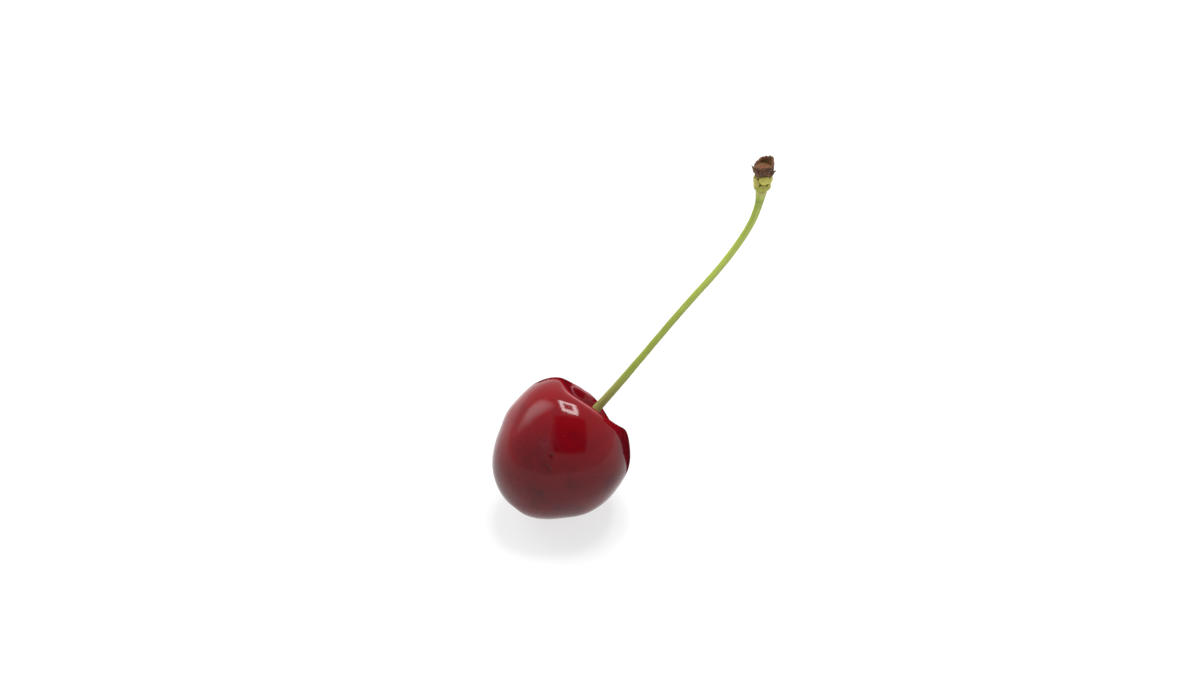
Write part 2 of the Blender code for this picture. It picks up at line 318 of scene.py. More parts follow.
class Socket:
    """A node's output. Sums, products and powers of these add the Math nodes that work them out."""

    def __init__(self, tree, source):
        self.tree = tree
        self.source = source

    def maths(self, operation, first, second=0.0):
        return self.tree.node("ShaderNodeMath", {"operation": operation}, {0: first, 1: second})

    def __add__(self, other):
        return self.maths("ADD", self, other)

    __radd__ = __add__

    def __sub__(self, other):
        return self.maths("SUBTRACT", self, other)

    def __rsub__(self, other):
        return self.maths("SUBTRACT", other, self)

    def __mul__(self, other):
        return self.maths("MULTIPLY", self, other)

    __rmul__ = __mul__

    def __truediv__(self, other):
        return self.maths("DIVIDE", self, other)

    def __rtruediv__(self, other):
        return self.maths("DIVIDE", other, self)

    def __pow__(self, other):
        return self.maths("POWER", self, other)

    def __abs__(self):
        return self.maths("ABSOLUTE", self)

    def at_least(self, other):
        return self.maths("MAXIMUM", self, other)

    def at_most(self, other):
        return self.maths("MINIMUM", self, other)

    def peaked(self):
        """1 where this is zero, falling smoothly away on both sides."""
        return (self * self + 1) ** -2

    def eased(self, low, high):
        """0 below low, 1 above high and smooth between them. With low over high it falls instead."""
        return self.tree.node(
            "ShaderNodeMapRange",
            {"interpolation_type": "SMOOTHSTEP"},
            {"Value": self, "From Min": low, "From Max": high},
        )


class NodeTree:
    """Adds nodes to one material or world."""

    def __init__(self, owner):
        owner.use_nodes = True
        self.nodes = owner.node_tree.nodes
        self.links = owner.node_tree.links

    def node(self, kind, settings=None, sockets=None, output=0):
        """Adds a node. Its settings are set first, then its sockets get their values or links."""
        node = self.nodes.new(kind)
        for name, value in (settings or {}).items():
            setattr(node, name, value)
        for name, value in (sockets or {}).items():
            if isinstance(value, Socket):
                self.links.new(value.source, node.inputs[name])
            else:
                node.inputs[name].default_value = value
        return Socket(self, node.outputs[output])

    def place(self, placed=None):
        """Where a point is in millimetres, in the frame of a piece that is placed by a matrix."""
        metres = self.node("ShaderNodeTexCoord", output="Object")
        if placed:
            sockets = {"Vector": metres, "Location": placed.translation, "Rotation": placed.to_euler()}
            metres = self.node("ShaderNodeMapping", {"vector_type": "TEXTURE"}, sockets)
        return self.vectors("SCALE", {0: metres, "Scale": 1 / MM})

    def vectors(self, operation, sockets, output="Vector"):
        return self.node("ShaderNodeVectorMath", {"operation": operation}, sockets, output)

    def across(self, place, direction):
        return self.vectors("DOT_PRODUCT", {0: place, 1: direction}, "Value")

    def from_point(self, place, point):
        return self.vectors("SUBTRACT", {0: place, 1: point})

    def distance(self, place, point):
        return self.vectors("DISTANCE", {0: place, 1: point}, "Value")

    def stretched(self, place, stretch):
        return self.vectors("MULTIPLY", {0: place, 1: stretch})

    def noise(self, place, scale, detail=2.0, roughness=0.5):
        sockets = {"Vector": place, "Scale": scale, "Detail": detail, "Roughness": roughness}
        return self.node("ShaderNodeTexNoise", {}, sockets, "Fac")

    def cells(self, place, scale):
        """Distance from the nearest of many scattered points."""
        return self.node("ShaderNodeTexVoronoi", {}, {"Vector": place, "Scale": scale}, "Distance")

    def mix(self, share, first, second):
        """A colour between two, by the share of the second."""
        return self.node(
            "ShaderNodeMix",
            {"data_type": "RGBA"},
            {0: share, 6: rgba(first), 7: rgba(second)},
            output=2,
        )

    def attribute(self, name):
        return self.node("ShaderNodeAttribute", {"attribute_name": name}, output="Fac")

    def bump(self, height, strength, reach):
        sockets = {"Strength": strength, "Distance": reach, "Height": height}
        return self.node("ShaderNodeBump", {}, sockets, "Normal")


def rgba(colour):
    """A colour with its alpha, or a socket as it is."""
    return colour if isinstance(colour, Socket) else (*colour[:3], 1)


def finish_material(name, varied, fixed):
    """A material whose shader takes varied inputs from nodes and the others as fixed numbers."""
    material = bpy.data.materials.new(name)
    tree = NodeTree(material)
    shader = tree.nodes["Principled BSDF"]
    for socket, value in fixed.items():
        shader.inputs[socket].default_value = value
    for socket, value in varied(tree).items():
        tree.links.new(value.source, shader.inputs[socket])
    return material


def bell(offset, width):
    """1 at no offset, about a third of that one width away and nearly 0 at two."""
    return math.exp(-((offset / width) ** 2))


def turn_between(turn, side):
    """The turn from a side, by the shorter way round."""
    return math.remainder(turn - side, math.tau)


def formed_sphere(segments, rings, form):
    """A sphere whose every vertex is moved to form(polar, turn): polar from +Z, turn about it from +X."""
    shape = bmesh.new()
    bmesh.ops.create_uvsphere(shape, u_segments=segments, v_segments=rings, radius=1)
    for vertex in shape.verts:
        polar = math.acos(max(-1, min(1, vertex.co.z)))
        turn = math.atan2(vertex.co.y, vertex.co.x)
        vertex.co = form(polar, turn)
    return shape


def add_piece(name, shape, material, node):
    """A smooth-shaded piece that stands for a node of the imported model."""
    bmesh.ops.recalc_face_normals(shape, faces=shape.faces)
    mesh = bpy.data.meshes.new(name)
    shape.to_mesh(mesh)
    shape.free()
    mesh.shade_smooth()
    mesh.materials.append(material)
    piece = bpy.data.objects.new(name, mesh)
    bpy.context.scene.collection.objects.link(piece)
    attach(piece, BODY)
    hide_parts(node)


def merge(shapes):
    """Several shapes in one, each still closed in itself."""
    whole = bmesh.new()
    for shape in shapes:
        mesh = bpy.data.meshes.new("part_of_piece")
        shape.to_mesh(mesh)
        shape.free()
        whole.from_mesh(mesh)
        bpy.data.meshes.remove(mesh)
    return whole


def mark_distance(point, ends):
    """Distance of a point from the line between two ends."""
    start, end = ends
    along = end - start
    share = max(0, min(1, (point - start).dot(along) / along.length_squared))
    return (point - start - along * share).length


class FruitSettings(bpy.types.PropertyGroup):
    colour: FloatVectorProperty(
        name="Skin", description="Colour of ripe skin", subtype="COLOR", default=(0.203, 0.002, 0.006)
    )
    # The ripest skin's colour, also used as painted shade low down and on the side away from the light
    dark_and_shade_colour: FloatVectorProperty(
        name="Dark skin", description="Colour of the ripest skin",
        subtype="COLOR", default=(0.07, 0.002, 0.006),
    )
    # Painted light: the colour the shoulders are brightened to
    shoulder_light_colour: FloatVectorProperty(
        name="Flush", description="Colour of the bright shoulders",
        subtype="COLOR", default=(0.205, 0.004, 0.008),
    )
    bloom_colour: FloatVectorProperty(
        name="Bloom", description="Colour of the wax bloom", subtype="COLOR", default=(0.16, 0.035, 0.05)
    )
    # Colour of the painted highlights on the fold's edge and along the hollow's lips
    painted_highlight_colour: FloatVectorProperty(
        name="Fold", description="Colour of the fold in the hollow", subtype="COLOR", default=(0.5, 0.2, 0.22)
    )
    unevenness: FloatProperty(
        name="Unevenness", description="Height of the skin's soft waves", unit="LENGTH", default=0.03 * MM
    )


class StemSettings(bpy.types.PropertyGroup):
    colour: FloatVectorProperty(
        name="Stem", description="Colour of the fresh stem", subtype="COLOR", default=(0.215, 0.275, 0.014)
    )
    foot_colour: FloatVectorProperty(
        name="Foot", description="Colour of the stem in the hollow",
        subtype="COLOR", default=(0.3, 0.26, 0.08),
    )
    top_colour: FloatVectorProperty(
        name="Top", description="Colour of the stem's upper half", subtype="COLOR", default=(0.33, 0.46, 0.03)
    )
    radius: FloatProperty(
        name="Radius", description="Radius along the middle of the stem", unit="LENGTH", default=0.6 * MM
    )


class CollarSettings(bpy.types.PropertyGroup):
    colour: FloatVectorProperty(
        name="Scale", description="Colour of the bud scales", subtype="COLOR", default=(0.56, 0.54, 0.1)
    )
    # Olive-brown of the scales' edges, also used as painted shade at the foot of the collar
    edge_and_foot_shade_colour: FloatVectorProperty(
        name="Edge", description="Colour of the scales' edges", subtype="COLOR", default=(0.13, 0.115, 0.02)
    )


class BarkSettings(bpy.types.PropertyGroup):
    colour: FloatVectorProperty(
        name="Bark", description="Colour of the torn bark", subtype="COLOR", default=(0.14, 0.075, 0.04)
    )
    hollow_colour: FloatVectorProperty(
        name="Hollow", description="Colour inside the torn cup", subtype="COLOR", default=(0.19, 0.055, 0.025)
    )


class StudioSettings(bpy.types.PropertyGroup):
    floor_colour: FloatVectorProperty(
        name="Floor", description="Colour of the floor", subtype="COLOR", default=(0.3, 0.3, 0.3)
    )
    camera_distance: FloatProperty(
        name="Camera distance", description="From the camera to its target", unit="LENGTH", default=2.0
    )
    camera_height: FloatProperty(
        name="Camera height", description="Angle above the floor", unit="ROTATION", default=math.radians(42)
    )


def fruit_form(polar, turn, unevenness):
    """The skin: a slightly lengthened, lopsided ball with a funnel sunk in its crown."""
    reach = (
        BODY_RADIUS
        + BODY_LENGTHENED * math.cos(2 * polar)
        + CROWN_TALLER * math.cos(polar)
        - FLANKS_NARROWED * math.cos(3 * polar)
    )
    full_side = math.cos(turn_between(turn, FULL_SIDE)) * math.sin(polar)
    reach -= FULL_SIDE_SWELL * full_side * math.cos(4 * polar)
    for centre, spread, side, side_spread, height in FRUIT_SWELLS:
        up_down = bell(math.degrees(polar) - centre, spread)
        around = bell(math.degrees(turn_between(turn, math.radians(side))), side_spread)
        reach += height * MM * up_down * around * math.sin(polar)
    reach += BLOSSOM_END_FULLER * bell(math.pi - polar, BLOSSOM_END_SPREAD)
    seam = bell(turn_between(turn, SEAM_SIDE), SEAM_WIDTH)
    reach -= SEAM_DEPTH * seam * math.sin(polar) ** 2
    way = Vector((math.sin(polar) * math.cos(turn), math.sin(polar) * math.sin(turn), math.cos(polar)))
    reach += unevenness * (noise.noise(way * 3.2) + 0.3 * noise.noise(way * 9))
    reach -= mark_depth(way * reach / MM) * MM
    across = reach * math.sin(polar)
    along = reach * math.cos(polar)
    if along > 0:
        along -= HOLLOW_DEPTH * math.exp(-((across / HOLLOW_WIDTH) ** 3))
        along += FOOT_RING_HEIGHT * bell(across - FOOT_RING_RADIUS, FOOT_RING_WIDTH)
    else:
        along += BLOSSOM_SCAR_DEPTH * bell(across, BLOSSOM_SCAR_WIDTH)
        along -= SCAR_POINT_DEPTH * bell(across, SCAR_POINT_WIDTH)
    return Vector((across * math.cos(turn), across * math.sin(turn), along))


def mark_depth(point):
    """How far the skin is pressed in at a point by its marks, all in millimetres."""
    pit = PIT_DEPTH * bell((point - PIT).length, PIT_RADIUS)
    scratch = SCRATCH_DEPTH * bell(mark_distance(point, SCRATCH), SCRATCH_RADIUS)
    return pit + scratch


class CHERRY_OT_fruit(bpy.types.Operator):
    """Makes the fruit's skin"""

    bl_idname = "cherry.fruit"
    bl_label = "Fruit"

    def execute(self, context):
        settings = context.scene.cherry_fruit
        shape = formed_sphere(
            FRUIT_SEGMENTS, FRUIT_RINGS, lambda polar, turn: fruit_form(polar, turn, settings.unevenness)
        )
        shape.transform(FRUIT_PLACED)
        for vertex in shape.verts:
            vertex.co.z = max(0, vertex.co.z)
        material = finish_material("ripe_skin", lambda tree: skin_look(tree, settings), SKIN_FIXED)
        add_piece("cherry_fruit", shape, material, "fruit")
        return {"FINISHED"}


def skin_colour_and_shade(tree, place, clouds, settings):
    """Mottled red, darker on the riper parts, with painted shade low down and on the side away from the
    light, and painted light on the shoulders.
    """
    flecks = tree.noise(tree.stretched(place, (1, 1, 0.22)), 1.6, 3, 0.6)
    above_floor = tree.across(place, FRUIT_PLACED.to_3x3().inverted() @ Vector((0, 0, 1)))
    # Painted shade: the skin is darker the lower it lies, towards the floor
    dark_and_shade_share = clouds.eased(0.45, 0.72) * 0.35 + above_floor.eased(10, -2) * 0.75 + (flecks - 0.5) * 0.4
    dusk = tree.distance(place, DUSK) + (tree.noise(place, 0.35, 2) - 0.5) * 5
    dark_and_shade_share = dark_and_shade_share + dusk.eased(DUSK_RADIUS, 1) * 0.45
    colour = tree.mix(dark_and_shade_share.at_most(1).at_least(0), settings.colour, settings.dark_and_shade_colour)
    # Painted light: the crown and upper shoulders are brightened in patches
    crown = tree.across(place, (0, 0, 1)).eased(2, 9.5)
    shoulder_light = crown * tree.noise(place, 0.25, 2).eased(0.3, 0.7)
    colour = tree.mix(shoulder_light * 0.65, colour, settings.shoulder_light_colour)
    # Painted shade on the side away from the light
    shaded = tree.distance(place, SHADED_SIDE).eased(SHADED_SIDE_RADIUS, 1.5)
    colour = tree.mix(shaded * 0.6, colour, settings.dark_and_shade_colour)
    patch = tree.distance(place, DARK_PATCH).eased(DARK_PATCH_RADIUS, 0)
    patch = patch * tree.noise(place, 0.9, 3).eased(0.4, 0.6)
    return tree.mix(patch * 0.6, colour, settings.dark_and_shade_colour)


def bruised_share(tree, place):
    """Where the skin is bruised: a round pit and a short scratch with an uneven edge."""
    pit = tree.distance(place, PIT).eased(PIT_RADIUS * 1.2, PIT_RADIUS * 0.4)
    uneven = (tree.noise(place, 2.2, 2) - 0.5) * 0.5
    off_scratch = abs(tree.across(place, SCRATCH_ACROSS) - SCRATCH[0].dot(SCRATCH_ACROSS) + uneven)
    from_middle = tree.distance(place, (SCRATCH[0] + SCRATCH[1]) / 2)
    scratch = off_scratch.eased(0.4, 0.1) * from_middle.eased(1.2, 0.7)
    return pit.at_least(scratch * 0.4)


def fold_ridge_and_highlight(tree, place):
    """The fold's raised edge, and the share of it that is pale."""
    from_fold = tree.from_point(place, FOLD)
    long_way = tree.across(from_fold, FOLD_LONG_WAY) / FOLD_HALF_SIZE[0]
    wide_way = tree.across(from_fold, FOLD_WIDE_WAY) / FOLD_HALF_SIZE[1]
    off_edge = ((long_way * long_way + wide_way * wide_way) ** 0.5 - 1) / FOLD_EDGE
    ridge = off_edge.peaked() * tree.distance(place, FOLD).eased(*FOLD_FADES)
    # The fold's raised edge, and the share of it painted with a pale highlight.
    return ridge, ridge * (0.42 - long_way * 0.4 + wide_way * 0.2).at_least(0)


def lip_highlight_share(tree, place):
    """Painted highlights: pale lines along the hollow's lip, on the side towards the camera and on the far
    side.
    """
    x = tree.across(place, (1, 0, 0))
    y = tree.across(place, (0, 1, 0))
    height = tree.across(place, (0, 0, 1))
    from_axis = (x * x + y * y) ** 0.5
    near = ((from_axis - LIP_RADIUS) / LIP_WIDTH).peaked()
    near = near * x.eased(-4, -7) * height.eased(8.8, 9.3) * y.eased(5, -1)
    far = ((from_axis - FAR_LIP_RADIUS) / LIP_WIDTH).peaked()
    far = far * x.eased(-0.5, 0.8) * y.eased(4, 5.5) * height.eased(9.8, 10.2)
    return near * NEAR_LIP_HIGHLIGHT + far * FAR_LIP_HIGHLIGHT


def skin_look(tree, settings):
    """Glossy skin: mottled deep red with painted shade low down, painted light on the shoulders, pale dots,
    bloom, a few small marks and painted highlights in the hollow.
    """
    place = tree.place(FRUIT_PLACED)
    clouds = tree.noise(place, 0.16, 3, 0.55)
    colour = skin_colour_and_shade(tree, place, clouds, settings)
    dots = tree.cells(place, 1.1).eased(0.13, 0.05) * tree.noise(place, 0.5, 1).eased(0.5, 0.6)
    colour = tree.mix(dots * 0.22, colour, PALE_DOT)
    near_bloom = tree.distance(place, (BLOOM[0] + BLOOM[1]) / 2).eased(BLOOM_RADIUS * 2, 0.4)
    bloom = near_bloom * tree.noise(place, 1.3, 4, 0.6).eased(0.36, 0.8)
    colour = tree.mix(bloom * 0.5, colour, settings.bloom_colour)
    colour = tree.mix(bruised_share(tree, place) * 0.85, colour, BRUISED)
    ridge, ridge_highlight = fold_ridge_and_highlight(tree, place)
    # Painted highlight on the fold's edge
    colour = tree.mix(ridge_highlight, colour, settings.painted_highlight_colour)
    # Painted highlights along the near and far lip of the hollow
    colour = tree.mix(lip_highlight_share(tree, place), colour, settings.painted_highlight_colour)
    roughness = 0.1 + bloom * 0.25 + (clouds - 0.5) * 0.06
    fine = tree.noise(place, 3.0, 3, 0.5)
    normal = tree.bump(fine * 0.05 + dots * 0.03 + ridge, 1, 0.0001)
    return {"Base Color": colour, "Roughness": roughness, "Normal": normal}


def smooth_route(points, steps):
    """A smooth line through the points, with this many steps between each two."""
    ends = [2 * points[0] - points[1], *points, 2 * points[-1] - points[-2]]
    route = []
    for before, start, end, after in zip(ends, ends[1:], ends[2:], ends[3:]):
        leave = start + (end - before) / 6
        arrive = end - (after - start) / 6
        route += interpolate_bezier(start, leave, arrive, end, steps + 1)[:-1]
    return route + [points[-1]]


def stem_radius(from_foot, from_end, radius):
    """Radius of the stem, thicker at its foot and flared under the collar."""
    foot = (STEM_FOOT_RADIUS - radius) * bell(from_foot, STEM_FOOT_LENGTH)
    top = STEM_FLARE * bell(from_end, STEM_FLARE_LENGTH) + STEM_TOP_FULLER * bell(from_end, STEM_TOP_LENGTH)
    return radius + foot + top


def stem_wall(from_foot, turn, radius):
    """Distance of the stem's skin from its middle line: faint ribs, lumps and cross wrinkles at the foot."""
    ribs = STEM_RIBS * math.cos(5 * turn + from_foot / (14 * MM)) + STEM_OVAL * math.cos(2 * turn + 1)
    around = Vector((math.cos(turn) * 0.6, math.sin(turn) * 0.6, from_foot / (2.6 * MM)))
    lumps = STEM_LUMPS * noise.noise(around)
    wave = from_foot / STEM_WRINKLE_SPACING + 1.5 * noise.noise(Vector((turn, 0, from_foot / (1.5 * MM))))
    wrinkles = STEM_WRINKLES * math.sin(wave) * bell(from_foot, STEM_WRINKLES_REACH)
    return radius * (1 + ribs + lumps + wrinkles)


def stem_shape(route, lengths, middle_radius):
    """A tube along the route, which notes how far along the stem each point is, and how near it is to the
    side that gets painted light.
    """
    shape = bmesh.new()
    along = shape.verts.layers.float.new("along")
    painted_light_side = shape.verts.layers.float.new("painted_light_side")
    side = Vector((0, 0, 1))
    rings = []
    for index, (middle, from_foot) in enumerate(zip(route, lengths)):
        ahead = (route[min(index + 1, len(route) - 1)] - route[max(index - 1, 0)]).normalized()
        side = (side - ahead * side.dot(ahead)).normalized()
        third = ahead.cross(side)
        radius = stem_radius(from_foot, max(0, lengths[-2] - from_foot), middle_radius)
        ring = []
        for corner in range(STEM_SIDES):
            turn = math.tau * corner / STEM_SIDES
            wall = stem_wall(from_foot, turn, radius)
            vertex = shape.verts.new(middle + (side * math.cos(turn) + third * math.sin(turn)) * wall)
            vertex[along] = from_foot / MM
            vertex[painted_light_side] = bell(turn_between(turn, PAINTED_LIGHT_SIDE), PAINTED_LIGHT_SIDE_SPREAD)
            ring.append(vertex)
        rings.append(ring)
    for ring, after in zip(rings, rings[1:]):
        for corner in range(STEM_SIDES):
            after_corner = (corner + 1) % STEM_SIDES
            shape.faces.new((ring[corner], ring[after_corner], after[after_corner], after[corner]))
    shape.faces.new(rings[0])
    shape.faces.new(rings[-1])
    return shape


class CHERRY_OT_stem(bpy.types.Operator):
    """Makes the stem"""

    bl_idname = "cherry.stem"
    bl_label = "Stem"

    def execute(self, context):
        settings = context.scene.cherry_stem
        line = smooth_route(STEM_ROUTE, STEM_STEPS)
        root = [STEM_ROOT + (line[0] - STEM_ROOT) * step / 4 for step in range(4)]
        end = line[-1] + (line[-1] - line[-2]).normalized() * STEM_INTO_COLLAR
        route = [*root, *line, end]
        lengths = [0.0]
        for before, after in zip(route, route[1:]):
            lengths.append(lengths[-1] + (after - before).length)
        shape = stem_shape(route, lengths, settings.radius)
        material = finish_material(
            "green_stalk", lambda tree: stem_look(tree, settings, lengths[-2] / MM), STEM_FIXED
        )
        add_piece("cherry_stem", shape, material, "stem")
        return {"FINISHED"}


def stem_look(tree, settings, length):
    """Fresh stem: yellow-green with long stripes and patches, tan at the foot, pale under the collar, with
    painted light along one side.
    """
    place = tree.place()
    along = tree.attribute("along")
    patches = tree.noise(place, 0.45, 4, 0.6)
    stripes = tree.noise(tree.stretched(place, (4, 4, 0.8)), 0.9, 3, 0.6)
    colour = tree.mix(patches.eased(0.35, 0.7), settings.colour, STEM_PATCH)
    colour = tree.mix(along.eased(length * 0.42, length * 0.75) * 0.7, colour, settings.top_colour)
    colour = tree.mix(stripes.eased(0.5, 0.75) * 0.4, colour, STEM_STRIPE)
    # Painted light: one side of the stem is paler, more so towards its top
    pale = tree.attribute("painted_light_side") * (along.eased(length * 0.3, length * 0.8) * 0.3 + 0.32)
    colour = tree.mix(pale, colour, STEM_PAINTED_LIGHT)
    colour = tree.mix(along.eased(17, 5) * 0.75, colour, settings.foot_colour)
    colour = tree.mix(along.eased(2.2, 1.0), colour, STEM_BROWN_ROOT)
    colour = tree.mix(along.eased(length - 1.6, length - 0.4) * 0.8, colour, STEM_UNDER_COLLAR)
    patch = along.eased(length - 4.2, length - 2.6) * along.eased(length - 1.0, length - 2.2)
    colour = tree.mix(patch * patches.eased(0.3, 0.6) * 0.5, colour, STEM_DARK_PATCH)
    specks = tree.cells(place, 2.4).eased(0.2, 0.1) * tree.noise(place, 1.1, 1).eased(0.52, 0.6)
    colour = tree.mix(specks * 0.45, colour, STEM_SPECK)
    roughness = 0.42 + patches * 0.15
    normal = tree.bump(stripes + tree.noise(place, 5, 2) * 0.5, 0.35, 0.00004)
    return {"Base Color": colour, "Roughness": roughness, "Normal": normal}


def scale_shape(turn, height, radius, half_width, half_height, half_thickness, lean):
    """One fleshy scale round the collar: full in the middle, thin and slightly curled at its edge."""
    shape = bmesh.new()
    bmesh.ops.create_uvsphere(shape, u_segments=32, v_segments=20, radius=1)
    edge = shape.verts.layers.float.new("edge")
    out = math.tan(math.radians(lean))
    for vertex in shape.verts:
        thick, wide, high = vertex.co
        rim = math.sqrt(wide * wide + high * high)
        narrowed = 1 - SCALE_NARROWS * max(0, high) ** 2
        lens = math.copysign(abs(thick) ** SCALE_LENS_POWER, thick) * half_thickness
        curl = SCALE_CURL * max(0, high) ** 3 * half_height
        wrinkle = SCALE_WRINKLE * noise.noise(Vector((wide * 2.2, high * 2.2, turn)))
        distance = radius + lens + out * high * half_height + curl + wrinkle
        angle = math.radians(turn) + wide * half_width * narrowed / radius
        lift = height + high * half_height + SCALE_WAVE * noise.noise(Vector((wide * 1.6, turn, 3)))
        vertex.co = Vector((distance * math.cos(angle), distance * math.sin(angle), lift)) * MM
        vertex[edge] = rim
    return shape


def collar_core():
    """The stalk of the collar, which the scales sit on."""
    shape = bmesh.new()
    bmesh.ops.create_cone(
        shape,
        cap_ends=True,
        segments=48,
        radius1=COLLAR_FOOT_RADIUS,
        radius2=COLLAR_TOP_RADIUS,
        depth=COLLAR_HEIGHT,
        matrix=Matrix.Translation((0, 0, COLLAR_HEIGHT / 2)),
    )
    edge = shape.verts.layers.float.new("edge")
    for vertex in shape.verts:
        vertex[edge] = 1
    return shape


class CHERRY_OT_bud_scales(bpy.types.Operator):
    """Makes the collar of bud scales"""

    bl_idname = "cherry.bud_scales"
    bl_label = "Bud scales"

    def execute(self, context):
        settings = context.scene.cherry_collar
        shape = merge([collar_core(), *[scale_shape(*scale) for scale in SCALES]])
        fixed = {"IOR": 1.4, "Subsurface Weight": 0.12, "Subsurface Scale": 0.0004}
        material = finish_material("green_scale", lambda tree: scale_look(tree, settings), fixed)
        shape.transform(TIP)
        add_piece("cherry_bud_scales", shape, material, "bud_scales")
        return {"FINISHED"}


def scale_look(tree, settings):
    """Bud scales: yellow-green, tan at the top, olive-brown along their edges, with painted shade at the foot
    of the collar.
    """
    place = tree.place(TIP)
    edge = tree.attribute("edge")
    clouds = tree.noise(place, 1.1, 4, 0.6)
    colour = tree.mix(clouds.eased(0.4, 0.65), settings.colour, SCALE_TAN)
    height = tree.across(place, (0, 0, 1))
    colour = tree.mix(height.eased(1.9, 0.5) * 0.6, colour, SCALE_LOWER)
    # Painted shade where the collar meets the stem
    colour = tree.mix(height.eased(0.45, 0.1) * 0.85, colour, settings.edge_and_foot_shade_colour)
    rim = (edge + (tree.noise(place, 2.5, 3) - 0.5) * 0.25).eased(0.84, 1.02)
    colour = tree.mix(rim * 0.6, colour, settings.edge_and_foot_shade_colour)
    rust = tree.noise(place, 1.7, 3).eased(0.56, 0.7)
    colour = tree.mix(rust * 0.5, colour, SCALE_RUST)
    roughness = 0.45 + clouds * 0.2
    normal = tree.bump(tree.noise(tree.stretched(place, (3, 3, 1)), 3, 4, 0.6), 0.5, 0.00008)
    return {"Base Color": colour, "Roughness": roughness, "Normal": normal}


def around_rim(values, turn):
    """A value at this turn, eased between the eighths of a turn that are given."""
    place = (turn % math.tau) / math.tau * len(values)
    whole = math.floor(place)
    eased = 0.5 - 0.5 * math.cos(math.pi * (place - whole))
    first = values[whole % len(values)]
    second = values[(whole + 1) % len(values)]
    return first + (second - first) * eased


def bark_form(polar, turn):
    """The torn cup, from the floor of its hollow over the ragged rim and down the outside to its foot."""
    ring = Vector((math.cos(turn), math.sin(turn), 0))
    torn = noise.noise(ring * 3.4) * BARK_TORN + noise.noise(ring * 9) * BARK_TORN_FINE
    height = around_rim(BARK_RIM_HEIGHTS, turn) + torn * MM
    uneven = noise.noise(ring * 5 + Vector((0, 0, 4))) * BARK_REACH_UNEVEN * MM
    reach = around_rim(BARK_RIM_REACHES, turn) + uneven
    # Polar angle in degrees, distance from the axis and height, from the hollow's floor to the foot
    stations = (
        (0, 0, BARK_HOLLOW_FLOOR),
        (40, BARK_HOLLOW_RADIUS, BARK_HOLLOW_FLOOR),
        (70, reach - BARK_WALL, height - 0.05 * MM),
        (82, reach, height),
        (120, reach * 0.95, height * 0.45),
        (150, BARK_FOOT_RADIUS, 0.1 * MM),
        (165, BARK_FOOT_RADIUS / 2, 0),
        (180, 0, 0),
    )
    degrees = math.degrees(polar)
    for (start, start_across, start_along), (end, end_across, end_along) in zip(stations, stations[1:]):
        if degrees <= end:
            break
    share = min(1, max(0, (degrees - start) / (end - start)))
    across = start_across + (end_across - start_across) * share
    along = start_along + (end_along - start_along) * share
    point = Vector((across * math.cos(turn), across * math.sin(turn), along))
    fibres = noise.noise(Vector((ring.x * 5, ring.y * 5, along / MM * 0.7)))
    plates = noise.cell(Vector((ring.x * 2.6, ring.y * 2.6, along / MM * 0.9)))
    crumbs = noise.noise(point / MM * 3.2)
    rough = 1 + math.sin(polar) * (BARK_FIBRES * fibres + BARK_PLATES * plates + BARK_CRUMBS * crumbs)
    point.x *= rough
    point.y *= rough
    point.z += BARK_LUMPS * MM * noise.noise(point / MM * 1.9) * math.sin(polar)
    return point


def flake_shape(turn, height, half_width, half_length):
    """A pointed flake of bark that lifts from the cup's side at its upper end."""
    shape = bmesh.new()
    bmesh.ops.create_uvsphere(shape, u_segments=20, v_segments=12, radius=1)
    for vertex in shape.verts:
        thick, wide, high = vertex.co
        pointed = (1 - FLAKE_POINTED * max(0, high)) * (1 - 0.2 * max(0, -high))
        distance = FLAKE_DISTANCE + thick * FLAKE_HALF_THICKNESS + FLAKE_LIFT * max(0, high + 0.3) ** 1.6
        distance += FLAKE_UNEVEN * noise.noise(Vector((wide * 2, high * 2, turn)))
        angle = math.radians(turn) + wide * half_width * pointed / distance
        lift = height + high * half_length
        vertex.co = Vector((distance * math.cos(angle), distance * math.sin(angle), lift)) * MM
    return shape


class CHERRY_OT_spur_bark(bpy.types.Operator):
    """Makes the cup of torn bark"""

    bl_idname = "cherry.spur_bark"
    bl_label = "Torn bark"

    def execute(self, context):
        settings = context.scene.cherry_bark
        cup = formed_sphere(BARK_SEGMENTS, BARK_RINGS, bark_form)
        shape = merge([cup, *[flake_shape(*flake) for flake in FLAKES]])
        material = finish_material("torn_bark", lambda tree: bark_look(tree, settings), {"IOR": 1.35})
        shape.transform(BARK_PLACED)
        add_piece("cherry_spur_bark", shape, material, "spur_bark")
        return {"FINISHED"}


